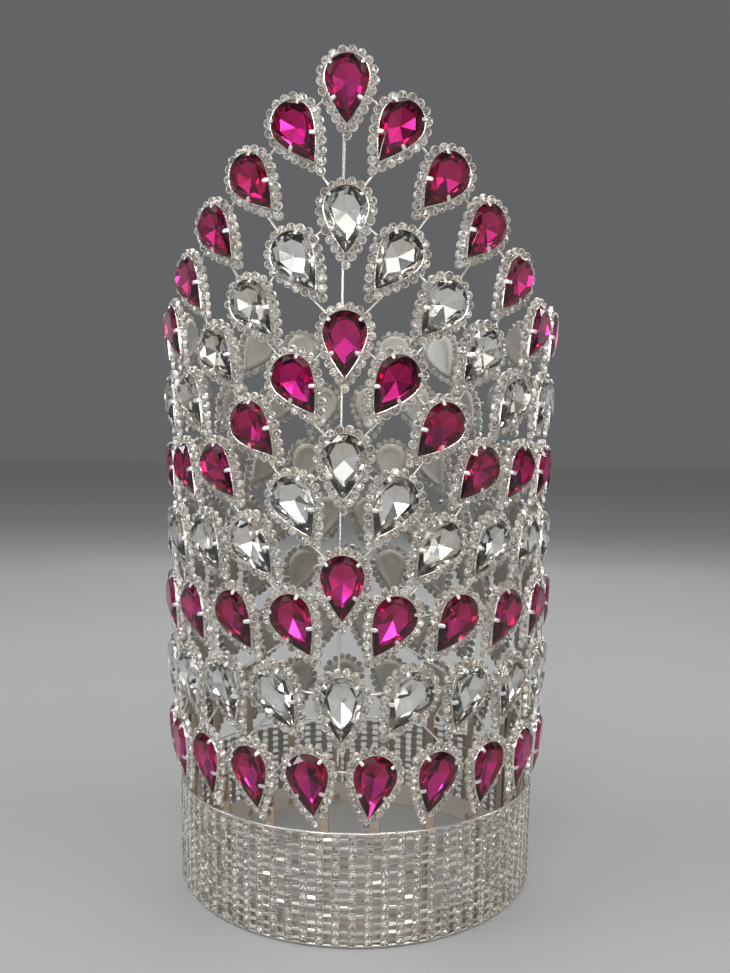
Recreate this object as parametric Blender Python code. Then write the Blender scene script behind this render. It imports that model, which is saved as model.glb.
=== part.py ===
"""Tall full-round pageant crown: a rhinestone mesh base band with seven rows of
pear-shaped stones above it, each stone in its own setting with a halo.

The front faces -Y, +Z is up, and the base stands on z = 0 with the head opening
round the Z axis.  Sizes below are in millimetres and degrees.
"""
from math import cos, pi, radians, sin

import bmesh
import bpy
from mathutils import Matrix, Vector

MM = 0.001

# Base band: vertical strings of small stones with open gaps between them, the first one
# turned a little from the front centre.
BAND_HEIGHT = 54.0
BAND_RADIUS_BOTTOM = 95.7
BAND_RADIUS_TOP = 97.0
BAND_THICKNESS = 3.5
BAND_STRINGS = 78
BAND_TURN = -1.4
STRING_WIDTH = 4.2
GAP_FLOOR = 13.4
GAP_CEILING = 52.2

# Round wire soldered along the top edge of the band.
RIM_WIRE = 1.7
RIM_SIDES = 5

# Flat ring inside the lowest rows of the band, and the strips that stand on it, each a
# little to the right of a stone's tip.
RING_HEIGHT = 13.0
RING_THICKNESS = 0.8
STRIP_WIDTH = 5.0
STRIP_TURN = 2.0
STRIP_THICKNESS = 1.0
STRIP_BEND_HEIGHT = 60.0
STRIP_TOP_HEIGHT = 80.0
STRIP_TOP_RADIUS = 95.0

# Pear stone and the setting round it.
GLASS_WIDTH = 20.0
GLASS_LENGTH = 30.0
FLANK_POWER = 1.55
HALO = 4.4
HALO_TIP = 1.17
SETTING_DEPTH = 4.6
BACK_MARGIN = 0.8
STONE_GIRDLE = 0.2
STONE_TABLE = 2.8
STONE_CULET = -3.4
TABLE_INSET = 4.4
SEAT_CLEARANCE = 0.4
SEAT_FLOOR = -3.8
SEAT_INSET = 2.5

# Wires between the rows.
WIRE = 1.4
WIRE_SIDES = 5
WIRE_DEPTH = -1.8
WIRE_HALO = 3.54
LOW_WIRE_REACH = 0.45
TOUCH_GAP = 0.32

# Angle from one stone to the next down the stepped front, and the drop there.
STEP_ANGLE = 12.2
STEP_DROP = [0.0, 18.4, 38.5, 58.6, 79.6, 100.4]
SIDE_ANGLE = 17.14

# One line for each row of stones, top row first.
# steps: stones that step down on each side; side: gaps kept at SIDE_ANGLE;
# last: number of the stone, counted from the front, that would sit at the back centre;
# peak, flat, back: height of the front stone, of the level sides and at the back;
# first, rest: tilt of the first stone beside the centre and of the others;
# lean: how far the top leans outwards; radius: of the stones' front plane.
ROW_COLUMNS = (
    "steps", "side", "last", "peak", "flat", "back", "first", "rest", "lean", "radius", "glass"
)
ROWS = [
    (5, 0, 11.5, 391.0, 289.6, 293.6, 31.0, 37.5, 5.0, 104.5, "pink"),
    (4, 0, 11.0, 334.0, 254.6, 259.2, 35.0, 38.5, 2.5, 103.5, "clear"),
    (3, 0, 11.5, 279.0, 221.0, 222.2, 33.0, 42.0, 2.5, 102.5, "pink"),
    (2, 0, 11.0, 224.0, 186.2, 187.0, 29.0, 39.0, 1.5, 102.0, "clear"),
    (1, 0, 10.5, 169.4, 151.8, 152.2, 29.0, 36.5, 2.5, 102.5, "pink"),
    (0, 5, 10.0, 113.8, 117.0, 116.2, 33.0, 24.0, 2.5, 101.5, "clear"),
    (0, 4.5, 10.0, 78.2, 78.2, 78.2, 8.0, 12.5, 5.6, 99.8, "pink"),
]
FRONT_STONE_ANGLE = 31.5


def rows():
    """Each row as a dictionary, with its number."""
    for number, line in enumerate(ROWS, 1):
        yield number, dict(zip(ROW_COLUMNS, line))


def stone_angle(row, k):
    """Angle of stone k from the front centre."""
    steps = row["steps"]
    side = row["side"]
    reached = STEP_ANGLE * steps + SIDE_ANGLE * side
    back = (180.0 - reached) / (row["last"] - steps - side)
    if k <= steps:
        return STEP_ANGLE * k
    if k <= steps + side:
        return STEP_ANGLE * steps + SIDE_ANGLE * (k - steps)
    return reached + back * (k - steps - side)


def stone_height(row, k, angle):
    """Height of stone k: stepped at the front, nearly level round the sides and back."""
    if k == 0:
        return row["peak"]
    if k <= row["steps"]:
        return max(row["flat"], row["peak"] - STEP_DROP[int(k)])
    towards_back = min(1.0, max(0.0, (angle - 60.0) / 40.0))
    return row["flat"] + (row["back"] - row["flat"]) * towards_back


def stone_tilt(row, k, angle):
    """Tilt of stone k, which fades to nothing round the back."""
    if k == 0:
        return 0.0
    tilt = row["first"] if k <= 1 else row["rest"]
    return tilt * min(1.0, (180.0 - angle) / 40.0)


def seat_matrix(angle, height, tilt, lean, radius):
    """Place of a stone: x across it, y towards its round end, z outwards."""
    turn = Matrix.Rotation(radians(angle), 4, "Z")
    out = Matrix.Translation((0.0, -radius * MM, height * MM))
    upright = Matrix.Rotation(radians(90.0 + lean), 4, "X")
    return turn @ out @ upright @ Matrix.Rotation(radians(-tilt), 4, "Z")


def row_stones(number, row):
    """All stones of a row, in order round the crown: name part, angle and place."""
    first = 0.5 if number == 7 else 0.0
    found = []
    k = first
    while k <= row["last"] + 0.01:
        angle = stone_angle(row, k)
        if angle > 180.5:
            break
        height = stone_height(row, k, angle)
        tilt = stone_tilt(row, k, angle)
        centred = angle < 0.5 or angle > 179.5
        for side in (1,) if centred else (1, -1):
            place = seat_matrix(side * angle, height, side * tilt, row["lean"], row["radius"])
            index = int(k + 0.5)
            label = "c" if k == 0 else ("r%d" if side > 0 else "l%d") % index
            found.append({"label": label, "k": k, "side": side, "angle": side * angle, "place": place})
        k += 1.0
    found.sort(key=lambda stone: stone["angle"] % 360.0)
    return found


def pear(grow, sides=8):
    """Outline of a pear, tip first, made larger or smaller by grow."""
    half = GLASS_WIDTH / 2.0
    bulb = GLASS_LENGTH / 2.0 - half
    radius = half + grow
    reach = GLASS_LENGTH - half + grow * HALO_TIP
    flanks = (0.45,) if sides == 8 else (0.62, 0.25)
    turns = (80.0, 40.0) if sides == 8 else (70.0, 34.0)
    right = [(radius * (1.0 - s ** FLANK_POWER), bulb - s * reach) for s in flanks]
    for turn in turns:
        right.append((1.03 * radius * sin(radians(turn)), bulb + 1.03 * radius * cos(radians(turn))))
    left = [(-x, y) for x, y in reversed(right)]
    return [(0.0, bulb - reach)] + right + [(0.0, bulb + radius)] + left


def ring_of(bm, outline, depth, place):
    """Vertices of an outline at a depth in front of the stone's plane."""
    return [bm.verts.new(place @ Vector((x * MM, y * MM, depth * MM))) for x, y in outline]


def wall(bm, lower, upper):
    """Quads between two rings of the same number of vertices."""
    count = len(lower)
    return [
        bm.faces.new((lower[i], lower[(i + 1) % count], upper[(i + 1) % count], upper[i]))
        for i in range(count)
    ]


def fan(bm, ring, point):
    """Triangles from a ring to a point."""
    count = len(ring)
    for i in range(count):
        bm.faces.new((ring[i], ring[(i + 1) % count], point))


def add_setting(bm, place, with_stone):
    """One setting with its halo; a fused stone, or an empty seat."""
    back = ring_of(bm, pear(BACK_MARGIN), -SETTING_DEPTH, place)
    front = ring_of(bm, pear(HALO), 0.0, place)
    outer = wall(bm, back, front)
    bm.faces.new(list(reversed(back)))
    if with_stone:
        girdle = ring_of(bm, pear(0.0), STONE_GIRDLE, place)
        table = ring_of(bm, pear(-TABLE_INSET), STONE_TABLE, place)
        wall(bm, front, girdle)
        wall(bm, girdle, table)
        bm.faces.new(table)
    else:
        lip = ring_of(bm, pear(SEAT_CLEARANCE), 0.0, place)
        floor = ring_of(bm, pear(-SEAT_INSET), SEAT_FLOOR, place)
        wall(bm, front, lip)
        wall(bm, lip, floor)
        bm.faces.new(floor)
    return outer


def join_neighbours(bm, walls_a, walls_b):
    """Solder two settings: the two walls that face each other become one web."""
    best = None
    for face_a in walls_a:
        for face_b in walls_b:
            if not (face_a.is_valid and face_b.is_valid):
                continue
            gap = (face_a.calc_center_median() - face_b.calc_center_median()).length
            if best is None or gap < best[0]:
                best = (gap, face_a, face_b)
    face_a, face_b = best[1], best[2]
    a = list(face_a.verts)
    b = list(face_b.verts)
    partner = [b[1], b[0], b[3], b[2]]
    bmesh.ops.delete(bm, geom=[face_a, face_b], context="FACES_ONLY")
    for i in range(4):
        j = (i + 1) % 4
        bm.faces.new((a[i], a[j], partner[j], partner[i]))


def wire_between(bm, start, end, thickness):
    """A straight wire with flat ends."""
    along = (end - start).normalized()
    across = along.orthogonal().normalized()
    up = along.cross(across)
    rings = []
    for point in (start, end):
        ring = []
        for i in range(WIRE_SIDES):
            turn = 2.0 * pi * i / WIRE_SIDES
            offset = across * cos(turn) + up * sin(turn)
            ring.append(bm.verts.new(point + offset * thickness * MM / 2.0))
        rings.append(ring)
    wall(bm, rings[0], rings[1])
    bm.faces.new(list(reversed(rings[0])))
    bm.faces.new(rings[1])


def material(name, colour, metallic, roughness):
    """A plain material of one colour."""
    made = bpy.data.materials.new(name)
    made.use_nodes = True
    shader = made.node_tree.nodes["Principled BSDF"]
    shader.inputs["Base Color"].default_value = (*colour, 1.0)
    shader.inputs["Metallic"].default_value = metallic
    shader.inputs["Roughness"].default_value = roughness
    made.diffuse_color = (*colour, 1.0)
    return made


def finish(name, bm, surface):
    """Turn a bmesh into a named object with outward faces."""
    bmesh.ops.recalc_face_normals(bm, faces=bm.faces)
    mesh = bpy.data.meshes.new(name)
    bm.to_mesh(mesh)
    bm.free()
    mesh.materials.append(surface)
    made = bpy.data.objects.new(name, mesh)
    bpy.context.collection.objects.link(made)
    return made


def weld(target, tool):
    """Boolean union of a helper into a piece."""
    joined = target.modifiers.new("weld", "BOOLEAN")
    joined.operation = "UNION"
    joined.solver = "EXACT"
    joined.object = tool
    tool.hide_render = True
    tool.display_type = "WIRE"


def circle_point(radius, angle, height):
    return Vector((radius * sin(angle) * MM, -radius * cos(angle) * MM, height * MM))


def band_radius(height):
    return BAND_RADIUS_BOTTOM + (BAND_RADIUS_TOP - BAND_RADIUS_BOTTOM) * height / BAND_HEIGHT


for old in list(bpy.data.objects):
    bpy.data.objects.remove(old, do_unlink=True)

# The pierced band: flat facets, each with one upright slot through it.
metal = material("band_rhinestone", (0.80, 0.78, 0.74), 0.7, 0.22)
bm = bmesh.new()
facet = 2.0 * pi / BAND_STRINGS
first_string = radians(BAND_TURN)
slot_share = 1.0 - STRING_WIDTH / (BAND_RADIUS_BOTTOM * facet)
levels = (0.0, GAP_FLOOR, GAP_CEILING, BAND_HEIGHT)
skins = {}
for skin, inset in (("outer", 0.0), ("inner", BAND_THICKNESS)):
    corners = []
    slots = []
    for i in range(BAND_STRINGS):
        a = first_string + facet * i
        corners.append([bm.verts.new(circle_point(band_radius(z) - inset, a, z)) for z in (levels[0], levels[3])])
        hole = []
        for z in levels[1:3]:
            left = circle_point(band_radius(z) - inset, a, z)
            right = circle_point(band_radius(z) - inset, a + facet, z)
            for share in (0.5 - slot_share / 2.0, 0.5 + slot_share / 2.0):
                hole.append(bm.verts.new(left.lerp(right, share)))
        slots.append(hole)
    skins[skin] = (corners, slots)
    for i in range(BAND_STRINGS):
        low_a, top_a = corners[i]
        low_b, top_b = corners[(i + 1) % BAND_STRINGS]
        hole_la, hole_lb, hole_ta, hole_tb = slots[i]
        bm.faces.new((low_a, low_b, hole_lb, hole_la))
        bm.faces.new((low_b, top_b, hole_tb, hole_lb))
        bm.faces.new((top_b, top_a, hole_ta, hole_tb))
        bm.faces.new((top_a, low_a, hole_la, hole_ta))
outer_corners, outer_slots = skins["outer"]
inner_corners, inner_slots = skins["inner"]
for i in range(BAND_STRINGS):
    j = (i + 1) % BAND_STRINGS
    bm.faces.new((outer_corners[i][0], outer_corners[j][0], inner_corners[j][0], inner_corners[i][0]))
    bm.faces.new((outer_corners[i][1], outer_corners[j][1], inner_corners[j][1], inner_corners[i][1]))
    order = (0, 1, 3, 2)
    for n in range(4):
        p = order[n]
        q = order[(n + 1) % 4]
        bm.faces.new((outer_slots[i][p], outer_slots[i][q], inner_slots[i][q], inner_slots[i][p]))
finish("base_band", bm, metal)

# The rim wire lies on the band's top edge.
silver = material("rim_silver", (0.86, 0.85, 0.82), 1.0, 0.18)
bm = bmesh.new()
rim_rings = []
rim_radius = BAND_RADIUS_TOP - RIM_WIRE / 2.0
rim_height = BAND_HEIGHT + 0.3 + RIM_WIRE / 2.0
for i in range(BAND_STRINGS // 2):
    a = first_string + 2.0 * facet * i
    ring = []
    for n in range(RIM_SIDES):
        turn = 2.0 * pi * (n + 0.5) / RIM_SIDES
        r = rim_radius + RIM_WIRE / 2.0 * cos(turn)
        ring.append(bm.verts.new(circle_point(r, a, rim_height + RIM_WIRE / 2.0 * sin(turn))))
    rim_rings.append(ring)
for i, ring in enumerate(rim_rings):
    wall(bm, ring, rim_rings[(i + 1) % len(rim_rings)])
finish("rim_wire", bm, silver)

# The flat ring inside the band, with one strip behind each stone of the lowest row.
polished = material("frame_silver", (0.78, 0.76, 0.72), 1.0, 0.12)
ring_outer = BAND_RADIUS_BOTTOM - BAND_THICKNESS - 0.5
ring_facets = BAND_STRINGS // 2
bm = bmesh.new()
profile = []
for i in range(ring_facets):
    a = first_string + 2.0 * facet * i
    points = (
        (ring_outer, 0.0),
        (ring_outer, RING_HEIGHT),
        (ring_outer - RING_THICKNESS, RING_HEIGHT),
        (ring_outer - RING_THICKNESS, 0.0),
    )
    profile.append([bm.verts.new(circle_point(r, a, z)) for r, z in points])
for i, ring in enumerate(profile):
    wall(bm, ring, profile[(i + 1) % ring_facets])
frame = finish("inner_frame", bm, polished)

strip_lines = (
    (1.0, ring_outer + 0.1),
    (STRIP_BEND_HEIGHT, ring_outer + 1.3),
    (STRIP_TOP_HEIGHT, STRIP_TOP_RADIUS),
)
lowest_row = dict(rows())[7]
bm = bmesh.new()
for stone in row_stones(7, lowest_row):
    middle = stone["place"] @ Vector((0.0, -GLASS_LENGTH / 2.0 * MM, 0.0))
    turn = Matrix.Rotation(radians(90.0 + STRIP_TURN) + Vector((middle.x, middle.y)).angle_signed(
        Vector((1.0, 0.0))), 4, "Z")
    sections = []
    for height, radius in strip_lines:
        ring = []
        for side, depth in ((-1, 0.0), (1, 0.0), (1, STRIP_THICKNESS), (-1, STRIP_THICKNESS)):
            x = side * STRIP_WIDTH / 2.0
            ring.append(bm.verts.new(turn @ Vector((x * MM, -(radius - depth) * MM, height * MM))))
        sections.append(ring)
    wall(bm, sections[0], sections[1])
    wall(bm, sections[1], sections[2])
    bm.faces.new(list(reversed(sections[0])))
    bm.faces.new(sections[2])
weld(frame, finish("strips_tool", bm, polished))

# The seven rows: settings soldered side by side, with the wires down to the next row.
glass_colours = {"pink": (0.72, 0.02, 0.25), "clear": (0.80, 0.82, 0.80)}
all_rows = {number: row_stones(number, row) for number, row in rows()}
for number, row in rows():
    setting_metal = material("row_%d_silver" % number, (0.82, 0.80, 0.77), 0.8, 0.2)
    stones = all_rows[number]
    bm = bmesh.new()
    walls = []
    for stone in stones:
        own_node = abs(stone["angle"]) < FRONT_STONE_ANGLE
        walls.append(add_setting(bm, stone["place"], not own_node))
    for i in range(len(stones)):
        join_neighbours(bm, walls[i], walls[(i + 1) % len(stones)])
    made = finish("row_%d_settings" % number, bm, setting_metal)

    bm = bmesh.new()
    wires = 0
    for stone in stones:
        steps_here = stone["k"] <= row["steps"]
        if number < 6 and steps_here:
            wanted = max(stone["k"] - 1.0, 0.0)
            side_offset = 0.0 if stone["k"] == 0 else 3.9 * stone["side"]
        elif number == 6 and 0 < stone["k"] <= 3:
            wanted = stone["k"] + 0.5
            side_offset = 3.9 * stone["side"]
        else:
            continue
        targets = [s for s in all_rows[number + 1] if s["k"] == wanted]
        target = [s for s in targets if wanted == 0 or s["side"] == stone["side"]][0]
        drop = -17.5 if stone["k"] == 0 else -11.0
        start = stone["place"] @ Vector((side_offset * MM, drop * MM, WIRE_DEPTH * MM))
        bulb = target["place"] @ Vector((0.0, (GLASS_LENGTH - GLASS_WIDTH) / 2.0 * MM, WIRE_DEPTH * MM))
        stop = (GLASS_WIDTH / 2.0 + WIRE_HALO + TOUCH_GAP) * MM
        if number == 6:
            stop -= LOW_WIRE_REACH * MM
        end = bulb + (start - bulb).normalized() * stop
        wire_between(bm, start, end, WIRE)
        wires += 1
    if wires:
        weld(made, finish("row_%d_wires_tool" % number, bm, setting_metal))
    else:
        bm.free()

# The front stones stand loose in their seats, each cut with a table and crown facets.
for number, row in rows():
    glass = material("row_%d_glass" % number, glass_colours[row["glass"]], 0.0, 0.04)
    for stone in all_rows[number]:
        if abs(stone["angle"]) >= FRONT_STONE_ANGLE:
            continue
        bm = bmesh.new()
        place = stone["place"]
        girdle = ring_of(bm, pear(0.0), STONE_GIRDLE, place)
        table = ring_of(bm, pear(-TABLE_INSET), STONE_TABLE, place)
        culet = bm.verts.new(place @ Vector((0.0, 2.0 * MM, STONE_CULET * MM)))
        wall(bm, girdle, table)
        bm.faces.new(table)
        fan(bm, girdle, culet)
        finish("row_%d_stone_%s" % (number, stone["label"]), bm, glass)
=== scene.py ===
"""A tall round pageant crown: seven rows of haloed pear stones on a rhinestone band.

Sizes are in millimetres and angles in degrees, except where a comment says metres.
"""
import random
from math import atan2, cos, pi, radians, sin

import bmesh
import bpy
from mathutils import Matrix, Vector


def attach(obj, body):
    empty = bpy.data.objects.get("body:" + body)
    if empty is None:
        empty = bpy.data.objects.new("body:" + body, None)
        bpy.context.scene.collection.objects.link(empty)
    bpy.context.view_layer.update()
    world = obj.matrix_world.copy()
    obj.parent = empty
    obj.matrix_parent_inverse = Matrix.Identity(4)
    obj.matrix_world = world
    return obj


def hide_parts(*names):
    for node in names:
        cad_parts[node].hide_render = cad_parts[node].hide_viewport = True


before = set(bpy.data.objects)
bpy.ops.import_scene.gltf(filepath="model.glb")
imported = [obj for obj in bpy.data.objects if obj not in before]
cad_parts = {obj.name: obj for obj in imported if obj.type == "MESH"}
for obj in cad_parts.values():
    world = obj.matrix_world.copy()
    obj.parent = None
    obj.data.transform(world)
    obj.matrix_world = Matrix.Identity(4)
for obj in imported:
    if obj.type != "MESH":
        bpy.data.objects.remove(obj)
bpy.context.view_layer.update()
MM = 0.001
chance = random.Random(7)


# Base band, the small stones.  Cup chain: round foiled crystals of 4 mm, each in a
# silver-plated brass cup, soldered end to end into upright strings round the head.
class Value:
    """One value in a material's node tree, so that a finish is written as arithmetic."""

    def __init__(self, tree, socket):
        self.tree = tree
        self.socket = socket

    def node(self, kind, settings=None, **inputs):
        """A new node; an input is named, or numbered as i0, i1 and so on."""
        made = self.tree.nodes.new(kind)
        for key, value in (settings or {}).items():
            if key == "stops":
                ramp = made.color_ramp
                while len(ramp.elements) < len(value):
                    ramp.elements.new(1.0)
                for element, (place, colour) in zip(ramp.elements, value):
                    element.position = place
                    element.color = (*colour, 1.0)
            else:
                setattr(made, key, value)
        for key, value in inputs.items():
            numbered = key[1:].isdigit()
            target = made.inputs[int(key[1:]) if numbered else key.replace("_", " ")]
            if isinstance(value, Value):
                self.tree.links.new(value.socket, target)
            else:
                target.default_value = value
        return Value(self.tree, made.outputs[0])

    def maths(self, operation, first, second):
        return self.node("ShaderNodeMath", {"operation": operation}, i0=first, i1=second)

    def __add__(self, other):
        return self.maths("ADD", self, other)

    def __radd__(self, other):
        return self.maths("ADD", other, self)

    def __sub__(self, other):
        return self.maths("SUBTRACT", self, other)

    def __rsub__(self, other):
        return self.maths("SUBTRACT", other, self)

    def __mul__(self, other):
        return self.maths("MULTIPLY", self, other)

    def __rmul__(self, other):
        return self.maths("MULTIPLY", other, self)

    def blend(self, low, high):
        """A colour between two, by this value."""
        mixed = self.node("ShaderNodeMix", {"data_type": "RGBA"}, i0=self, i6=low, i7=high)
        return mixed.output(2)

    def output(self, index):
        return Value(self.tree, self.socket.node.outputs[index])

    def coordinates(self):
        return self.node("ShaderNodeTexCoord").output(3)

    def cloud(self, size, detail=3.0):
        """Soft noise whose patches are about this many metres across."""
        return self.node(
            "ShaderNodeTexNoise", None, Vector=self.coordinates(), Scale=1.0 / size, Detail=detail
        )

    def given(self, name="tone"):
        """A number given to each copy (tone) or to each facet of a stone (facet); the facet number
        sets that facet's painted reflection.
        """
        return self.node("ShaderNodeAttribute", {"attribute_name": name}).output(2)


def new_finish(name, **fixed):
    """A material, a Value to start its arithmetic from, and its shader."""
    made = bpy.data.materials.new(name)
    made.use_nodes = True
    shader = made.node_tree.nodes["Principled BSDF"]
    for key, value in fixed.items():
        shader.inputs[key.replace("_", " ")].default_value = value
    made.diffuse_color = fixed.get("Base_Color", (0.8, 0.8, 0.8, 1.0))
    return made, Value(made.node_tree, None), shader


def feed(shader, **values):
    for key, value in values.items():
        value.tree.links.new(value.socket, shader.inputs[key.replace("_", " ")])


# Dents in the plate, in metres as every size in a finish is, and how much rougher than its
# smoothest place a surface gets.
DENT_SIZE = 0.0011
DENT_DEPTH = 0.0002
ROUGHER = 0.14


def silver(name, bright, dull, rough, patch, metal=1.0):
    """Silver plate in two tones, with duller patches of about this size and fine dents."""
    made, start, shader = new_finish(name, Metallic=metal)
    patches = start.cloud(patch)
    colour = patches.blend((*dull, 1.0), (*bright, 1.0))
    feed(shader, Base_Color=colour, Roughness=patches * ROUGHER + rough)
    dents = start.cloud(DENT_SIZE, 1.0)
    bump = start.node("ShaderNodeBump", None, Strength=0.25, Distance=DENT_DEPTH, Height=dents)
    feed(shader, Normal=bump)
    return made


def extrude(bm, edges):
    """Extrude edges where they lie: the new corners, and the new edges between them."""
    made = bmesh.ops.extrude_edge_only(bm, edges=edges)["geom"]
    fresh = [g for g in made if isinstance(g, bmesh.types.BMVert)]
    corners = set(fresh)
    return fresh, [g for g in made if isinstance(g, bmesh.types.BMEdge) and set(g.verts) <= corners]


def loft(sides, rings, outline):
    """A body with flat ends through rings of (twist, size, height), shaped by outline.

    Until the last loop the z of each corner is the number of its ring.
    """
    bm = bmesh.new()
    bmesh.ops.create_circle(bm, segments=sides, radius=1.0)
    edges = bm.edges[:]
    for number in range(1, len(rings)):
        fresh, edges = extrude(bm, edges)
        for v in fresh:
            v.co.z = number
    bmesh.ops.holes_fill(bm, edges=[e for e in bm.edges if e.is_boundary], sides=0)
    for v in bm.verts:
        twist, size, height = rings[round(v.co.z)]
        share = (atan2(v.co.x, -v.co.y) / (2.0 * pi) + twist / sides) % 1.0
        x, y = outline(share, size)
        v.co = Vector((x, y, height)) * MM
    return bm


def cut_facets(bm):
    """Split the twisted sides into the crossed triangles of a brilliant cut."""
    bmesh.ops.remove_doubles(bm, verts=bm.verts, dist=0.01 * MM)
    twisted = [f for f in bm.faces if len(f.verts) == 4]
    bmesh.ops.triangulate(bm, faces=twisted, quad_method="SHORT_EDGE")
    bmesh.ops.recalc_face_normals(bm, faces=bm.faces)


def round_outline(share, size):
    turn = 2.0 * pi * share
    return size * sin(turn), -size * cos(turn)


def as_mesh(bm, name):
    mesh = bpy.data.meshes.new(name)
    bm.to_mesh(mesh)
    bm.free()
    return mesh


def repeat(name, pattern, places, finishes):
    """One object of many copies of a small pattern mesh, each at its place with its own tone."""
    bm = bmesh.new()
    tone = pattern.attributes.get("tone") or pattern.attributes.new("tone", "FLOAT", "FACE")
    for place in places:
        tone.data.foreach_set("value", [chance.random()] * len(pattern.polygons))
        placed = pattern.copy()
        placed.transform(place)
        bm.from_mesh(placed)
        bpy.data.meshes.remove(placed)
    made = bpy.data.objects.new(name, as_mesh(bm, name))
    for finish in finishes:
        made.data.materials.append(finish)
    bpy.context.collection.objects.link(made)
    return made


glass_clear, _, _ = new_finish("small_crystal", Base_Color=(1.0, 0.99, 0.97, 1.0),
                               Roughness=0.03, IOR=1.55, Transmission_Weight=0.92)
# The small foil is painted from dark to bright facet by facet, shifted by each copy's tone: painted
# reflections of the room in its facets.
foil_clear, start, shader = new_finish("small_foil", Metallic=0.9)
tone = start.given()
turned = start.maths("FRACT", tone + start.given("facet"), 0.0)
painted_reflection_colour = turned.blend((0.36, 0.32, 0.28, 1.0), (1.0, 0.98, 0.955, 1.0))
feed(shader, Base_Color=painted_reflection_colour, Roughness=tone * ROUGHER + 0.06)
cup_silver = silver("cup_silver", (1.0, 0.97, 0.935), (0.93, 0.89, 0.84), 0.32, 0.004)
# The back of each cup, inside the band, is painted a darker copy of the same silver plate: painted
# shade.
shaded_cup_back = silver("shaded_cup_back", (0.54, 0.52, 0.49), (0.36, 0.34, 0.31), 0.4, 0.004)
SMALL_FINISHES = [glass_clear, foil_clear, cup_silver, shaded_cup_back]
CRYSTAL, FOIL, CUP, SHADED_CUP_BACK = range(4)
CUP_SIDES = 8
FOIL_BELOW = -0.2
BACK_WITHIN = 0.35


def square_outline(share, size):
    """A square with cut corners, for cups that are pressed side by side."""
    turn = 2.0 * pi * share
    return size * max(-1.0, min(1.0, 2.0 * sin(turn))), size * max(-1.0, min(1.0, -2.0 * cos(turn)))


def cup_chain_stone(name, outline, size, height):
    """A small foiled crystal in its cup, from rings of twist, size and height, for repeat."""
    crystal = ((0.0, 0.45 * size, 0.85), (0.5, size - 0.24, 0.12), (0.5, 0.15, -1.35))
    bm = loft(CUP_SIDES, crystal, round_outline)
    cut_facets(bm)
    for face in bm.faces:
        face.material_index = FOIL if face.calc_center_median().z < FOIL_BELOW * MM else CRYSTAL
    stone = as_mesh(bm, name + "_stone")
    # Each facet gets a chance number, which sets how bright its painted reflection in the foil is.
    facet = stone.attributes.new("facet", "FLOAT", "FACE")
    facet.data.foreach_set("value", [chance.random() for _ in stone.polygons])
    cup = (
        (0.5, size - 0.4, -height), (0.5, size, 0.4 - height), (0.5, size, -0.12),
        (0.5, size - 0.1, 0.2), (0.5, size - 0.26, 0.16), (0.5, size - 0.4, -1.45),
    )
    bm = loft(CUP_SIDES, cup, outline)
    bmesh.ops.recalc_face_normals(bm, faces=bm.faces)
    for face in bm.faces:
        # Faces near the cup's foot take the darker silver: painted shade.
        low = face.calc_center_median().z < (BACK_WITHIN - height) * MM
        face.material_index = SHADED_CUP_BACK if low else CUP
    bm.from_mesh(stone)
    return as_mesh(bm, name)


BAND_HEIGHT = 54.0
BAND_BOTTOM = 95.7
BAND_TOP = 97.0
BAND_TURN = -1.4
BAND_LEAN = -1.3
STRINGS = 78
STONES_UP = 13
STONE_PITCH = 4.0
FIRST_STONE = 3.4
STONE_INSET = 0.85
BAND_CUP = 2.0
BAND_CUP_DEPTH = 2.3
BAND_WOBBLE = 2.5


def band_radius(height):
    return BAND_BOTTOM + (BAND_TOP - BAND_BOTTOM) * height / BAND_HEIGHT


def facing(angle, height, radius, lean=0.0, tilt=0.0):
    """A place on the crown: z points out of it, y up, x to the right from outside."""
    turn = Matrix.Rotation(radians(angle), 4, "Z")
    out = Matrix.Translation((0.0, -radius * MM, height * MM))
    upright = Matrix.Rotation(radians(90.0 + lean), 4, "X")
    return turn @ out @ upright @ Matrix.Rotation(radians(-tilt), 4, "Z")


def nudge(amount, turned=True):
    """A small chance tilt, as hand-soldered stones have; a turned one is spun freely too."""
    lean = Matrix.Rotation(radians(chance.gauss(0.0, amount)), 4, "X")
    side = Matrix.Rotation(radians(chance.gauss(0.0, amount)), 4, "Y")
    spin = chance.random() * pi if turned else radians(chance.gauss(0.0, amount))
    return lean @ side @ Matrix.Rotation(spin, 4, "Z")


band_stone = cup_chain_stone("band_stone", square_outline, BAND_CUP, BAND_CUP_DEPTH)
string_angles = [BAND_TURN + 360.0 / STRINGS * i for i in range(STRINGS)]
stone_heights = [FIRST_STONE + STONE_PITCH * step for step in range(STONES_UP)]
places = []
for angle in string_angles:
    for height in stone_heights:
        middle = facing(angle, height, band_radius(height) - STONE_INSET, BAND_LEAN)
        places.append(middle @ nudge(BAND_WOBBLE, False))
band_stones = repeat("band_strings", band_stone, places, SMALL_FINISHES)
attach(band_stones, "root")
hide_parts("base_band")


# Base band, the cross bars.  Short flat lengths of plated wire soldered between the
# strings, one at every stone, and one round wire under the strings all the way round.
BAR_HEIGHT = 1.6
BAR_DEPTH = 0.8
BAR_OVERLAP = 0.7
BAR_EDGE = 0.24
BAR_INSET = 1.9
BAR_DRIFT = 0.06
BAR_LEAN = -2.0
BAR_SWING = 9.0
BENT_LEAN = -24.0
BENT_SHARE = 0.14
FOOT_WIRE = 1.6
FOOT_INSET = 2.6
FOOT_HEIGHT = 0.85
wire_silver = silver("wire_silver", (0.92, 0.91, 0.88), (0.70, 0.67, 0.62), 0.16, 0.006)
# Each bar is painted at random from a dark to a bright silver, rougher when darker: painted shade
# and highlights, as of bars that miss or catch a lamp.
bar_silver, start, shader = new_finish("bar_silver", Metallic=1.0)
tone = start.given()
painted_glint_bar_colour = tone.blend((0.28, 0.26, 0.24, 1.0), (1.0, 0.98, 0.94, 1.0))
feed(shader, Base_Color=painted_glint_bar_colour, Roughness=0.42 - tone * 0.2)


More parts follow.
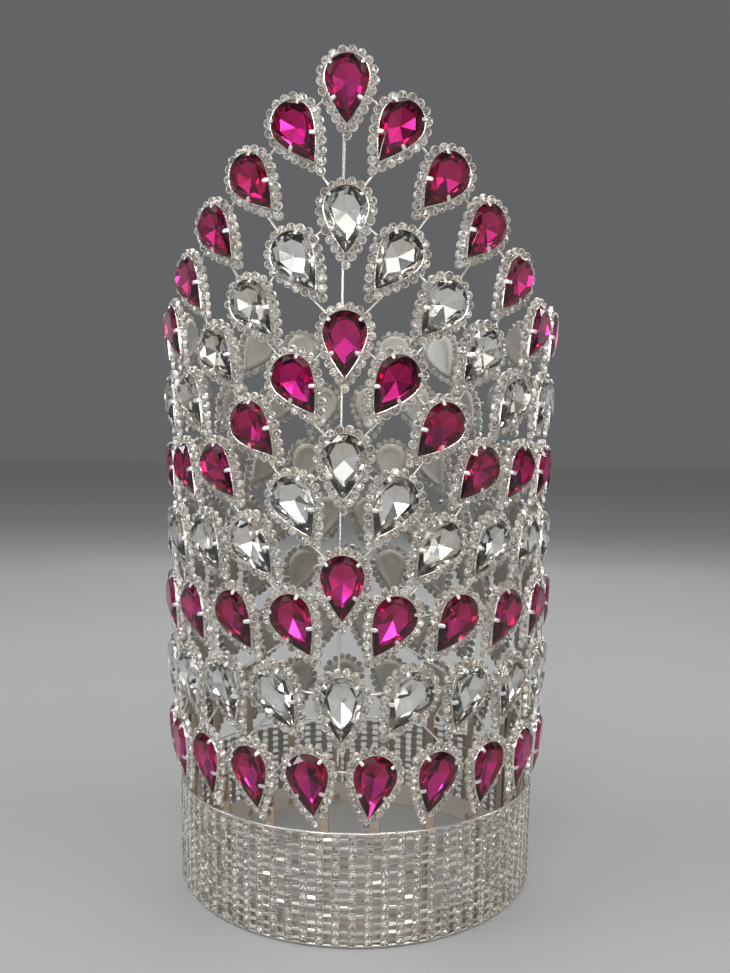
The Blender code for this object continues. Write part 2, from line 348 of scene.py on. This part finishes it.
def ease(bm, edges, width):
    """Take the sharpness off edges with one flat of this width."""
    bmesh.ops.bevel(bm, geom=edges, offset=width * MM, affect="EDGES", segments=1, profile=0.5,
                    material=-1)


def hoop(bm, radius, height, thickness, steps, sides=8):
    """A round wire bent into a level circle."""
    bmesh.ops.create_circle(bm, segments=sides, radius=thickness * MM / 2.0,
                            matrix=Matrix.Translation((radius * MM, 0.0, height * MM))
                            @ Matrix.Rotation(radians(90.0), 4, "X"))
    bmesh.ops.spin(bm, geom=bm.verts[:] + bm.edges[:], cent=(0.0, 0.0, 0.0), axis=(0.0, 0.0, 1.0),
                   angle=2.0 * pi, steps=steps, use_merge=True)
    bmesh.ops.recalc_face_normals(bm, faces=bm.faces)


def finish_piece(name, bm, finish, smooth=None):
    """One object of one finish, rounded over edges that turn by less than smooth."""
    made = bpy.data.objects.new(name, as_mesh(bm, name))
    made.data.materials.append(finish)
    if smooth:
        made.data.shade_smooth()
        made.data.set_sharp_from_angle(angle=radians(smooth))
    bpy.context.collection.objects.link(made)
    return made


bm = bmesh.new()
bar_length = 2.0 * pi * BAND_BOTTOM / STRINGS - 2.0 * BAND_CUP + BAR_OVERLAP
bmesh.ops.create_cube(bm, size=MM, matrix=Matrix.Diagonal((bar_length, BAR_HEIGHT, BAR_DEPTH, 1.0)))
ease(bm, [e for e in bm.edges if abs(e.verts[0].co.x - e.verts[1].co.x) > MM], BAR_EDGE)
bar = as_mesh(bm, "bar")
places = []
for angle in string_angles:
    for height in stone_heights:
        lean = BENT_LEAN if chance.random() < BENT_SHARE else chance.gauss(BAR_LEAN, BAR_SWING)
        drift = chance.gauss(0.0, BAR_DRIFT)
        radius = band_radius(height) - BAR_INSET
        middle = facing(angle + 180.0 / STRINGS, height + drift, radius, lean)
        places.append(middle @ nudge(BAND_WOBBLE, False))
bars = repeat("band_cross_bars", bar, places, [bar_silver])
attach(bars, "root")

bm = bmesh.new()
hoop(bm, BAND_BOTTOM - FOOT_INSET, FOOT_HEIGHT, FOOT_WIRE, 2 * STRINGS)
foot = finish_piece("band_foot_wire", bm, wire_silver, smooth=60.0)
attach(foot, "root")


# Rim wire.  One round wire of silver-plated brass, bent into a hoop that lies along the
# band's top edge and is soldered to every string.
RIM = 1.3
RIM_INSET = 1.0
RIM_LIFT = 0.75
RIM_STEPS = 180
bm = bmesh.new()
hoop(bm, BAND_TOP - RIM_INSET, BAND_HEIGHT + RIM_LIFT, RIM, RIM_STEPS)
rim = finish_piece("rim_wire_round", bm, wire_silver, smooth=60.0)
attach(rim, "root")
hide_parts("rim_wire")


# Inner frame.  A flat polished brass ring behind the lowest stones of the band, and the
# flat strips that stand on it, one behind the tip of each stone of the lowest row.
STEP_ANGLE = 12.2
SIDE_ANGLE = 17.14
STEP_DROP = (0.0, 18.4, 38.5, 58.6, 79.6, 100.4)

# One line for each row of stones, top row first: stones that step down on each side, gaps
# of SIDE_ANGLE after them, number of the stone that would sit at the back centre, height of
# the front stone, of the sides and at the back, tilt of the first stone beside the centre
# and of the others, how far the top leans outwards, radius, and glass.
ROW_COLUMNS = (
    "steps", "side", "last", "peak", "flat", "back", "first", "rest", "lean", "radius", "glass"
)
ROWS = (
    (5, 0, 11.5, 391.0, 289.6, 293.6, 31.0, 37.5, 5.0, 104.5, "pink"),
    (4, 0, 11.0, 334.0, 254.6, 259.2, 35.0, 38.5, 2.5, 103.5, "clear"),
    (3, 0, 11.5, 279.0, 221.0, 222.2, 33.0, 42.0, 2.5, 102.5, "pink"),
    (2, 0, 11.0, 224.0, 186.2, 187.0, 29.0, 39.0, 1.5, 102.0, "clear"),
    (1, 0, 10.5, 169.4, 151.8, 152.2, 29.0, 36.5, 2.5, 102.5, "pink"),
    (0, 5, 10.0, 113.8, 117.0, 116.2, 33.0, 24.0, 2.5, 101.5, "clear"),
    (0, 4.5, 10.0, 78.2, 78.2, 78.2, 8.0, 12.5, 5.6, 99.8, "pink"),
)

# From this angle on, a row passes from its height at the sides to the one at the back, over
# BACK_OVER; the tilt fades out over TILT_OVER before the back centre.
BACK_FROM = 60.0
BACK_OVER = 40.0
TILT_OVER = 40.0
HALF_TURN = 180.0
CENTRED = 0.5


def row_stones(number):
    """The stones of a row: where each stands, which side it is on and its label."""
    row = dict(zip(ROW_COLUMNS, ROWS[number - 1]))
    reached = STEP_ANGLE * row["steps"] + SIDE_ANGLE * row["side"]
    back_gap = (HALF_TURN - reached) / (row["last"] - row["steps"] - row["side"])
    found = []
    k = 0.5 if number == 7 else 0.0
    while k <= row["last"]:
        if k <= row["steps"]:
            angle = STEP_ANGLE * k
        elif k <= row["steps"] + row["side"]:
            angle = STEP_ANGLE * row["steps"] + SIDE_ANGLE * (k - row["steps"])
        else:
            angle = reached + back_gap * (k - row["steps"] - row["side"])
        if k == 0:
            height = row["peak"]
        elif k <= row["steps"]:
            height = max(row["flat"], row["peak"] - STEP_DROP[int(k)])
        else:
            towards_back = min(1.0, max(0.0, (angle - BACK_FROM) / BACK_OVER))
            height = row["flat"] + (row["back"] - row["flat"]) * towards_back
        tilt = 0.0 if k == 0 else row["first"] if k <= 1 else row["rest"]
        tilt *= min(1.0, (HALF_TURN - angle) / TILT_OVER)
        alone = angle < CENTRED or angle > HALF_TURN - CENTRED
        for side in (1,) if alone else (1, -1):
            label = "c" if k == 0 else ("r%d" if side > 0 else "l%d") % int(k + 0.5)
            place = facing(side * angle, height, row["radius"], row["lean"], side * tilt)
            found.append({"k": k, "side": side, "angle": side * angle, "label": label,
                          "place": place, "glass": row["glass"], "steps": row["steps"]})
        k += 1.0
    return found


def on_circle(radius, angle, height):
    turn = radians(angle)
    return Vector((radius * sin(turn), -radius * cos(turn), height)) * MM


crown_rows = {number: row_stones(number) for number in range(1, 8)}

polished = silver("polished_strip", (0.74, 0.62, 0.51), (0.58, 0.47, 0.38), 0.3, 0.015, 0.8)
# The ring, and the strips' lower length where it faces the band, take a lighter, duller copy of the
# brass: painted light, where the band shades them.
ring_painted_light = silver("ring_painted_light", (1.0, 0.96, 0.88), (0.92, 0.86, 0.76), 0.42, 0.006, 0.35)
PAINTED_LIGHT_FINISH = 1
RING_HEIGHT = 13.0
RING_OUTER = BAND_BOTTOM - 4.0
RING_THICKNESS = 0.8
STRIP = 5.0
STRIP_THICKNESS = 1.0
STRIP_TURN = 2.0
STRIP_EDGE = 0.3
STRIP_OVERLAP = 0.4
PEAR_TIP = -15.0
OUTWARD = 0.9

# Height and outer radius of a strip at its foot, at its bend and at its top.
STRIP_LINE = ((1.0, RING_OUTER + 0.1), (54.0, RING_OUTER + 1.2), (80.0, 95.0))
bm = bmesh.new()
bmesh.ops.create_circle(bm, segments=2 * STRINGS, radius=RING_OUTER * MM)
wall_top, _ = extrude(bm, bm.edges[:])
bmesh.ops.translate(bm, verts=wall_top, vec=(0.0, 0.0, RING_HEIGHT * MM))
bmesh.ops.solidify(bm, geom=bm.faces[:], thickness=RING_THICKNESS * MM)
bmesh.ops.recalc_face_normals(bm, faces=bm.faces)
for face in bm.faces:
    face.material_index = PAINTED_LIGHT_FINISH
for stone in crown_rows[7]:
    tip = stone["place"] @ Vector((0.0, PEAR_TIP * MM, 0.0))
    angle = atan2(tip.x, -tip.y) * 180.0 / pi + STRIP_TURN
    for (low, low_radius), (high, high_radius) in zip(STRIP_LINE, STRIP_LINE[1:]):
        start = on_circle(low_radius - STRIP_THICKNESS / 2.0, angle, low)
        end = on_circle(high_radius - STRIP_THICKNESS / 2.0, angle, high)
        up = (end - start).normalized()
        across = on_circle(1.0, angle + 90.0, 0.0).normalized()
        place = Matrix((across, up, across.cross(up))).transposed().to_4x4()
        place.translation = (start + end) / 2.0
        length = (end - start).length + STRIP_OVERLAP * MM
        size = Matrix.Diagonal((STRIP * MM, length, STRIP_THICKNESS * MM, 1.0))
        made = bmesh.ops.create_cube(bm, size=1.0, matrix=place @ size)
        bm.normal_update()
        # The lower length is painted as light as the ring where it faces the band: painted light in
        # the band's shade.
        for face in {f for v in made["verts"] for f in v.link_faces}:
            if low == STRIP_LINE[0][0] and face.normal.dot(start.normalized()) > OUTWARD:
                face.material_index = PAINTED_LIGHT_FINISH
        ease(bm, list({e for v in made["verts"] for e in v.link_edges}), STRIP_EDGE)
frame_piece = finish_piece("inner_ring_and_strips", bm, polished, smooth=40.0)
frame_piece.data.materials.append(ring_painted_light)
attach(frame_piece, "root")
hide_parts("inner_frame")


# Settings.  Each pear stone sits in a pressed silver cup with a thin bright wall and four
# flat claws bent over its edge: two on the round end and two on the flanks near the tip.
HALF_WIDTH = 10.0
BULB = 5.0
PEAR_REACH = 20.0
FLANK_POWER = 1.55
WALL_TIP = 1.17
CURVE_STEPS = 40

# Rings of the cup, from its back round its foot, up the wall, over the edge and down inside:
# how far outside the stone's outline each lies, and its height.
CUP_RINGS = (
    (-7.5, -4.42), (-3.6, -4.46), (-2.9, -4.58), (-0.6, -4.58), (0.4, -4.1),
    (0.5, 0.2), (0.36, 0.42), (0.12, 0.38), (0.06, 0.0), (-0.6, -4.34),
)
CUP_STEPS = 32
WALL_FINISH, SHADED_BACK_FINISH, CLAW_FINISH = range(3)
BACK_BELOW = -3.7
BACKWARD = -0.3

# Each claw's turn from the round end, its width, and how far it reaches over the glass.
# The ones past 90 degrees stand on the flanks, this share of the way down to the tip.
CLAWS = ((51.0, 1.6, 1.5), (-51.0, 1.6, 1.5), (135.0, 1.8, 2.1), (-135.0, 1.8, 2.1))
FLANK_SHARE = 0.48
FLANK_HEADING = 117.0
CLAW_TAPER = 0.66
CLAW_THICKNESS = 0.4


def pear_curve(size, tip_growth):
    """Points round a pear stone's outline grown by size, tip first, with the way covered."""
    radius = HALF_WIDTH + size
    reach = PEAR_REACH + size * tip_growth
    right = []
    for i in range(CURVE_STEPS + 1):
        down = 1.0 - i / CURVE_STEPS
        right.append((radius * (1.0 - down ** FLANK_POWER), BULB - down * reach))
    for i in range(1, CURVE_STEPS + 1):
        turn = pi * i / (2.0 * CURVE_STEPS)
        right.append((radius * cos(turn), BULB + radius * sin(turn)))
    points = [Vector(p) for p in right] + [Vector((-x, y)) for x, y in reversed(right[:-1])]
    covered = [0.0]
    for before, after in zip(points, points[1:]):
        covered.append(covered[-1] + (after - before).length)
    return points, covered


curves = {}


def pear_outline(share, size, tip_growth=WALL_TIP):
    """The point a share of the way round the pear outline."""
    if (size, tip_growth) not in curves:
        curves[size, tip_growth] = pear_curve(size, tip_growth)
    points, covered = curves[size, tip_growth]
    wanted = (share % 1.0) * covered[-1]
    for i in range(1, len(covered)):
        if covered[i] >= wanted:
            part = (wanted - covered[i - 1]) / (covered[i] - covered[i - 1])
            return points[i - 1].lerp(points[i], part)
    return points[0]


def claw(width, reach):
    """A flat prong: up the wall, over its edge and down onto the glass, y pointing outwards."""
    path = (
        (0.72, -3.9), (0.72, 0.4), (0.5, 0.95), (0.0, 1.35), (-reach * 0.6, 1.85), (-reach, 1.95)
    )
    bm = bmesh.new()
    y, z = path[0]
    row = [bm.verts.new((side * width * MM / 2.0, y * MM, z * MM)) for side in (-1, 0, 1)]
    edges = [bm.edges.new(row[:2]), bm.edges.new(row[1:])]
    crest = [row[1]]
    for (y, z), (next_y, next_z) in zip(path, path[1:]):
        fresh, edges = extrude(bm, edges)
        bmesh.ops.translate(bm, verts=fresh, vec=(0.0, (next_y - y) * MM, (next_z - z) * MM))
        crest += [v for v in fresh if abs(v.co.x) < 0.01 * MM]
    bmesh.ops.scale(bm, verts=fresh, vec=(CLAW_TAPER, 1.0, 1.0))
    for v in crest:
        raised = (0.0, 0.0, 0.3) if v.co.z > 1.2 * MM else (0.0, 0.25, 0.1)
        v.co += Vector(raised) * MM
    bmesh.ops.solidify(bm, geom=bm.faces[:], thickness=CLAW_THICKNESS * MM)
    bmesh.ops.recalc_face_normals(bm, faces=bm.faces)
    return as_mesh(bm, "claw")


bm = loft(CUP_STEPS, [(0.0, grow, height) for grow, height in CUP_RINGS], pear_outline)
bmesh.ops.recalc_face_normals(bm, faces=bm.faces)
# Faces low on the back of the cup take a darker copy of its silver: painted shade, from the crown's
# inside.
for face in bm.faces:
    behind = face.normal.z < BACKWARD and face.calc_center_median().z < BACK_BELOW * MM
    face.material_index = SHADED_BACK_FINISH if behind else WALL_FINISH
for turn, width, reach in CLAWS:
    side = 1.0 if turn > 0.0 else -1.0
    if abs(turn) < 90.0:
        at = Vector((sin(radians(turn)), cos(radians(turn)))) * HALF_WIDTH + Vector((0.0, BULB))
        heading = radians(turn)
    else:
        flank = HALF_WIDTH * (1.0 - FLANK_SHARE ** FLANK_POWER)
        at = Vector((side * flank, BULB - FLANK_SHARE * PEAR_REACH))
        heading = side * radians(FLANK_HEADING)
    prong = claw(width, reach)
    prong.polygons.foreach_set("material_index", [CLAW_FINISH] * len(prong.polygons))
    stand = Matrix.Translation(Vector((at.x, at.y, 0.0)) * MM)
    prong.transform(stand @ Matrix.Rotation(-heading, 4, "Z"))
    bm.from_mesh(prong)
setting_pattern = as_mesh(bm, "setting")
setting_silver = silver("setting_silver", (0.93, 0.92, 0.89), (0.72, 0.69, 0.64), 0.12, 0.005)
# The back of the setting is a darker copy of its silver: painted shade.
setting_back_painted_shade = silver("setting_back_painted_shade", (0.60, 0.58, 0.54), (0.42, 0.40, 0.37), 0.34, 0.005)
# The claws take a lighter copy of the setting's silver, rougher too: the lighter colour is a
# painted highlight.
claw_painted_highlight = silver("claw_painted_highlight", (1.0, 0.99, 0.97), (0.92, 0.90, 0.86), 0.26, 0.003)
for number, stones in crown_rows.items():
    made = repeat("row_%d_cups_and_claws" % number, setting_pattern, [s["place"] for s in stones],
                  [setting_silver, setting_back_painted_shade, claw_painted_highlight])
    made.data.shade_smooth()
    made.data.set_sharp_from_angle(angle=radians(35.0))
    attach(made, "root")
    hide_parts("row_%d_settings" % number)
    "set_stones_pink" if stones[0]["glass"] == "pink" else "set_stones_clear"


# Halos.  Twenty-one small crystals round every pear stone, one of them at the tip, each
# in its own cup, soldered low down on the outside of the big setting.
HALO_STONES = 21
HALO_LINE = 2.0
HALO_TIP = 2.25
HALO_DEPTH = 1.25
HALO_CUP = 2.1
HALO_CUP_DEPTH = 2.1
HALO_DRIFT = 0.1
HALO_WOBBLE = 8.0
halo_stone = cup_chain_stone("halo_stone", round_outline, HALO_CUP, HALO_CUP_DEPTH)
for number, stones in crown_rows.items():
    places = []
    for stone in stones:
        for step in range(HALO_STONES):
            x, y = pear_outline(step / HALO_STONES, HALO_LINE, HALO_TIP)
            across = chance.uniform(-HALO_DRIFT, HALO_DRIFT)
            drift = Vector((across, chance.uniform(-HALO_DRIFT, 0.0), -HALO_DEPTH))
            at = Matrix.Translation((Vector((x, y, 0.0)) + drift) * MM)
            places.append(stone["place"] @ at @ nudge(HALO_WOBBLE))
    made = repeat("row_%d_halos" % number, halo_stone, places, SMALL_FINISHES)
    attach(made, "root")
    "set_stones_pink" if stones[0]["glass"] == "pink" else "set_stones_clear"


# Pear stones.  Pressed glass fancy stones of 20 by 30 mm with a flat table, crossed crown
# facets and eight large facets behind, mirror-foiled on the back: fuchsia or clear.
FRONT_STONE_ANGLE = 31.5

# Corners of the right half from the tip up: x and y of the table, and x, y and height of the
# ring behind it, whose large facets meet at CULET.
TABLE = ((0.0, -6.6), (4.7, -1.6), (7.6, 4.8), (5.5, 10.9), (0.0, 12.3))
TABLE_HEIGHT = 2.32
PAVILION = (
    (0.0, -8.6, -1.95), (4.8, -1.6, -3.1), (6.4, 5.6, -2.5), (3.7, 10.1, -2.4), (0.0, 11.2, -2.5)
)
CULET = (0.0, 3.2, -4.3)
GIRDLE_SHARES = (0.0, *[(step + 0.5) / 16.0 for step in range(1, 15)], 0.97)
GIRDLE_GROWTH = -0.05
GIRDLE_TOP = 0.55
GIRDLE_FOOT = 0.2
FOILED_BELOW = 0.15
GLASS_FINISH, FOIL_FINISH = range(2)
LEVEL_SPREAD = 0.15


def painted_reflection_level(y, z):
    """How bright the foil is painted on a facet, by where its middle lies: painted reflections,
    brightest on the back facets towards the tip, which mirror the lamps above, dimmer towards the
    round end, and darkest at the tip.
    """
    if z < -2.0 and y > -6.0:
        return 0.95 if y < 0.0 else 0.7 if y < 4.0 else 0.35
    return 0.05 if y < -7.0 else 0.4


def big_stone():
    """A pear stone cut to its table, girdle and back facets: the hull of their corners."""
    corners = [(x, y, TABLE_HEIGHT) for x, y in TABLE] + list(PAVILION)
    corners += [(-x, y, z) for x, y, z in corners if x]
    corners.append(CULET)
    for share in GIRDLE_SHARES:
        x, y = pear_outline(share, GIRDLE_GROWTH)
        corners += [(x, y, GIRDLE_TOP), (x, y, GIRDLE_FOOT)]
    bm = bmesh.new()
    for corner in corners:
        bm.verts.new(Vector(corner) * MM)
    bmesh.ops.convex_hull(bm, input=bm.verts[:])
    bmesh.ops.dissolve_limit(bm, angle_limit=radians(0.6), verts=bm.verts[:], edges=bm.edges[:])
    bmesh.ops.recalc_face_normals(bm, faces=bm.faces)
    for face in bm.faces:
        foiled = face.calc_center_median().z < FOILED_BELOW * MM
        face.material_index = FOIL_FINISH if foiled else GLASS_FINISH
    mesh = as_mesh(bm, "big_stone")
    # Each facet's painted reflection, by where it lies, spread a little by chance.
    painted_reflections = []
    for polygon in mesh.polygons:
        _, y, z = polygon.center / MM
        painted_reflections.append(painted_reflection_level(y, z) + chance.uniform(-LEVEL_SPREAD, LEVEL_SPREAD))
    facet = mesh.attributes.new("facet", "FLOAT", "FACE")
    facet.data.foreach_set("value", painted_reflections)
    return mesh


big_pattern = big_stone()

# Colour of the glass, and the painted reflections of its foil from the darkest facets to the
# brightest; the brightest pink is a purple painted glint of the cool window lamp.
GLASS_COLOURS = {
    "pink": (
        (0.95, 0.22, 0.57),
        ((0.25, 0.02, 0.07), (0.44, 0.04, 0.16), (0.72, 0.10, 0.37), (0.66, 0.08, 0.48)),
    ),
    "clear": (
        (0.99, 0.99, 0.98),
        ((0.52, 0.52, 0.51), (0.72, 0.67, 0.60), (0.90, 0.91, 0.91), (1.0, 1.0, 0.99)),
    ),
}
FOIL_STOPS = (0.0, 0.3, 0.65, 1.0)
GLASSES = {}
for kind, (body, foils) in GLASS_COLOURS.items():
    glass, _, _ = new_finish("pear_glass_" + kind, Base_Color=(*body, 1.0), Roughness=0.01,
                             IOR=1.54, Transmission_Weight=1.0, Specular_IOR_Level=0.35)
    # The foil is painted through the ramp by facet and, a little, by copy: painted reflections and
    # glints.
    foil, start, shader = new_finish("pear_foil_" + kind, Metallic=0.95)
    painted_shine = start.given("facet") * 0.8 + start.given() * 0.25
    ramp = start.node("ShaderNodeValToRGB", {"stops": tuple(zip(FOIL_STOPS, foils))}, Fac=painted_shine)
    feed(shader, Base_Color=ramp, Roughness=start.cloud(0.006) * 0.06 + 0.03)
    GLASSES[kind] = (glass, foil)
for number, stones in crown_rows.items():
    kind = stones[0]["glass"]
    behind = []
    for stone in stones:
        if abs(stone["angle"]) >= FRONT_STONE_ANGLE:
            behind.append(stone["place"])
            continue
        name = "row_%d_pear_%s" % (number, stone["label"])
        made = repeat(name, big_pattern, [stone["place"]], GLASSES[kind])
        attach(made, "root")
        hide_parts("row_%d_stone_%s" % (number, stone["label"]))
        kind + "_glass"
    made = repeat("row_%d_pears_round_the_back" % number, big_pattern, behind, GLASSES[kind])
    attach(made, "root")
    kind + "_glass"


# Lattice wires.  Straight silver wires soldered across the backs of the halos: one from
# each stepped stone to the next row, and a short link between neighbours in a row.
WIRE = 1.3
WIRE_DEPTH = -3.4

# How far from the middle of a stone's round end a wire stops: a link, a slanting wire, and
# one that ends on top of the stone.  Nearer neighbours than LINK_FROM have no link.
LINK_STOP = 12.2
LINK_FROM = 24.6
SLANT_STOP = 12.6
TOP_STOP = 12.4

# Where a wire leaves its stone: y towards the round end, and x away from the crown's middle
# line, or to the right on a centre stone.
CENTRE_START = (-1.5, -18.0)
FIRST_START = (1.5, -16.5)
HIGH_START = (5.0, -12.0)
LOW_START = (10.0, -4.5)

# How far the wire of the lowest centre stone runs, to the right, backwards and up.
LAST_DROP = (-0.4, 0.2, -9.0)


def rod(bm, start, end, thickness, sides=8):
    """A straight round wire between two points."""
    along = end - start
    turn = Vector((0.0, 0.0, 1.0)).rotation_difference(along).to_matrix().to_4x4()
    bmesh.ops.create_cone(bm, cap_ends=True, segments=sides, radius1=thickness * MM / 2.0,
                          radius2=thickness * MM / 2.0, depth=along.length,
                          matrix=Matrix.Translation((start + end) / 2.0) @ turn)


def point_on(stone, x, y):
    return stone["place"] @ (Vector((x, y, WIRE_DEPTH)) * MM)


def linked(stones, stone):
    """The neighbours that a link runs to from a stone, on its way round to the back."""
    k, side = stone["k"], stone["side"]
    if k == 0.0:
        return [s for s in stones if s["k"] == 1.0]
    beside = [s for s in stones if s["k"] == k + 1.0 and s["side"] == side]
    if k == 0.5 and side > 0:
        beside += [s for s in stones if s["k"] == 0.5 and s["side"] < 0]
    return beside


def stone_below(number, stone):
    """The stone of the next row that a wire runs to from this one, or None."""
    k = stone["k"]
    if number < 6 and k <= stone["steps"]:
        wanted = 2.0 if number == 5 and k == 1.0 else max(k - 1.0, 0.0)
    elif number == 6 and 0.0 < k <= 3.0:
        wanted = k + 0.5
    else:
        return None
    found = [s for s in crown_rows[number + 1] if s["k"] == wanted]
    return [s for s in found if wanted == 0.0 or s["side"] == stone["side"]][0]


bm = bmesh.new()
for number, stones in crown_rows.items():
    for stone in stones:
        for other in linked(stones, stone):
            start = point_on(stone, 0.0, BULB)
            end = point_on(other, 0.0, BULB)
            along = (end - start).normalized() * LINK_STOP * MM
            if (end - start).length > LINK_FROM * MM:
                rod(bm, start + along, end - along, WIRE)
        below = stone_below(number, stone)
        if below is None:
            continue
        if stone["k"] == 0.0:
            start = point_on(stone, *CENTRE_START)
            end = point_on(below, CENTRE_START[0], BULB + TOP_STOP)
        else:
            x, y = LOW_START if number > 4 else HIGH_START
            if number == 1 and stone["k"] == 1.0:
                x, y = FIRST_START
            start = point_on(stone, x * stone["side"], y)
            bulb = point_on(below, 0.0, BULB)
            end = bulb + (start - bulb).normalized() * SLANT_STOP * MM
            if number == 6:
                end = point_on(below, 0.0, BULB + TOP_STOP)
        rod(bm, start, end, WIRE)
start = point_on(crown_rows[6][0], *CENTRE_START)
rod(bm, start, start + Vector(LAST_DROP) * MM, WIRE)
wires = finish_piece("lattice_wires", bm, wire_silver, smooth=50.0)
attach(wires, "root")


# Studio.  A plain pale floor, soft lights round a grey room, and the camera where the
# photograph's stood: close in, a little above the middle, looking slightly down.
FLOOR_HALF_METRES = 30.0
FLOOR_DROP = 0.3

# From 1 metre away on, each metre paints the floor this much of the way paler: painted light,
# making up for the lamps' light falling off, so the far floor meets the grey room.
FADE = 0.4
pale, start, shader = new_finish("pale_floor", Roughness=0.7)
length = start.node("ShaderNodeVectorMath", {"operation": "LENGTH"}, i0=start.coordinates())
far = length.output(1) * FADE - FADE
mottled = start.cloud(0.6).blend((0.74, 0.74, 0.74, 1.0), (0.78, 0.78, 0.78, 1.0))
feed(shader, Base_Color=far.maths("MINIMUM", far, 1.0).blend(mottled, (0.90, 0.90, 0.90, 1.0)))
bm = bmesh.new()
bmesh.ops.create_grid(bm, x_segments=1, y_segments=1, size=FLOOR_HALF_METRES,
                      matrix=Matrix.Translation((0.0, 0.0, -FLOOR_DROP * MM)))
floor = finish_piece("floor", bm, pale)

ROOM_COLOUR = (0.97, 0.98, 1.0, 1.0)
ROOM_LIGHT = 0.13
world = bpy.data.worlds.new("room")
bpy.context.scene.world = world
world.use_nodes = True
world.node_tree.nodes["Background"].inputs[0].default_value = ROOM_COLOUR
world.node_tree.nodes["Background"].inputs[1].default_value = ROOM_LIGHT

# Each light: its direction from CROWN_MIDDLE (degrees round from the front, degrees up), how
# far away it is, its width and height, how bright its face is, and its colour; in metres.
# The walls, sparks and ceiling show only in the silver and the glass; the glows light only
# the floor and dull surfaces.
LIGHTS = (
    ("front", -4.0, 38.0, 1.9, 0.9, 0.9, 1.0, (1.0, 0.97, 0.93)),
    ("window", -55.0, 38.0, 1.8, 0.9, 0.8, 1.25, (0.90, 0.95, 1.0)),
    ("right", 48.0, 38.0, 1.8, 0.7, 0.8, 1.1, (1.0, 0.96, 0.90)),
    ("ceiling", 180.0, 76.0, 1.6, 1.2, 1.0, 1.8, (1.0, 0.98, 0.95)),
    ("back", 180.0, 36.0, 1.8, 1.2, 0.8, 1.2, (1.0, 1.0, 1.0)),
    ("glow_left", -80.0, 38.0, 2.2, 1.6, 1.2, 1.6, (1.0, 1.0, 1.0)),
    ("glow_right", 80.0, 38.0, 2.2, 1.6, 1.2, 1.6, (1.0, 1.0, 1.0)),
    ("glow_front", 0.0, 42.0, 2.4, 1.6, 1.2, 1.3, (1.0, 1.0, 1.0)),
    ("wall_front", -4.0, 8.0, 1.5, 1.4, 0.75, 0.30, (1.0, 0.99, 0.97)),
    ("wall_left", -62.0, 8.0, 1.5, 1.4, 0.75, 0.28, (0.94, 0.97, 1.0)),
    ("wall_right", 60.0, 8.0, 1.5, 1.4, 0.75, 0.34, (1.0, 0.98, 0.94)),
    ("wall_far_left", -120.0, 16.0, 1.5, 1.4, 0.75, 0.34, (1.0, 1.0, 1.0)),
    ("wall_far_right", 120.0, 16.0, 1.5, 1.4, 0.75, 0.38, (1.0, 1.0, 1.0)),
    ("wall_back", 180.0, 8.0, 1.5, 1.4, 0.75, 0.34, (1.0, 1.0, 1.0)),
    ("spark_1", -45.0, 13.0, 1.5, 0.26, 0.26, 9.0, (0.92, 0.96, 1.0)),
    ("spark_2", -18.0, 13.0, 1.5, 0.26, 0.26, 9.0, (1.0, 0.98, 0.95)),
    ("spark_3", 12.0, 17.0, 1.5, 0.26, 0.26, 9.0, (1.0, 0.98, 0.95)),
    ("spark_4", 35.0, 13.0, 1.5, 0.26, 0.26, 9.0, (1.0, 0.98, 0.95)),
    ("spark_5", -28.0, 54.0, 1.6, 0.2, 0.2, 18.0, (1.0, 0.98, 0.95)),
    ("spark_6", 30.0, 52.0, 1.7, 0.2, 0.2, 18.0, (1.0, 0.98, 0.95)),
    ("spark_7", -95.0, 30.0, 1.6, 0.26, 0.26, 9.0, (0.92, 0.96, 1.0)),
    ("spark_8", 100.0, 30.0, 1.6, 0.26, 0.26, 9.0, (1.0, 0.98, 0.95)),
    ("spark_9", 150.0, 30.0, 1.6, 0.26, 0.26, 9.0, (1.0, 0.98, 0.95)),
)
CROWN_MIDDLE = Vector((0.0, 0.0, 0.22))
for name, round_by, up_by, away, width, height, bright, colour in LIGHTS:
    light = bpy.data.lights.new(name, "AREA")
    light.shape = "RECTANGLE"
    light.size = width
    light.size_y = height
    light.energy = bright * pi * width * height
    light.color = colour
    lamp = bpy.data.objects.new(name, light)
    bpy.context.collection.objects.link(lamp)
    kind = name.partition("_")[0]
    lamp.visible_camera = False
    lamp.visible_diffuse = kind not in ("wall", "spark", "ceiling")
    lamp.visible_glossy = kind != "glow"
    lamp.visible_transmission = kind != "glow"
    level = cos(radians(up_by))
    towards = Vector((sin(radians(round_by)) * level, -cos(radians(round_by)) * level,
                      sin(radians(up_by))))
    lamp.location = CROWN_MIDDLE + towards * away
    lamp.rotation_euler = (-towards).to_track_quat("-Z", "Y").to_euler()

# The camera, as fitted to the places of the stones in the photograph: in metres and degrees,
# with the focal length and the picture's height in pixels.
CAMERA_AWAY = 0.5170
CAMERA_HEIGHT = 0.2289
PITCH = 1.843
SWING = 0.366
ROLL = 0.623
TURN = 3.95
SENSOR = 36.0
FOCAL_PIXELS = 924.7
PICTURE_HEIGHT = 973.0
camera_data = bpy.data.cameras.new("camera")
camera_data.sensor_width = SENSOR
camera_data.lens = SENSOR * FOCAL_PIXELS / PICTURE_HEIGHT
camera_data.clip_start = 0.01
camera = bpy.data.objects.new("camera", camera_data)
bpy.context.collection.objects.link(camera)
camera.matrix_world = (
    Matrix.Rotation(radians(TURN), 4, "Z")
    @ Matrix.Translation((0.0, -CAMERA_AWAY, CAMERA_HEIGHT))
    @ Matrix.Rotation(radians(-SWING), 4, "Z")
    @ Matrix.Rotation(radians(90.0 - PITCH), 4, "X")
    @ Matrix.Rotation(radians(ROLL), 4, "Z")
)
bpy.context.scene.camera = camera
bpy.context.scene.view_settings.view_transform = "Standard"
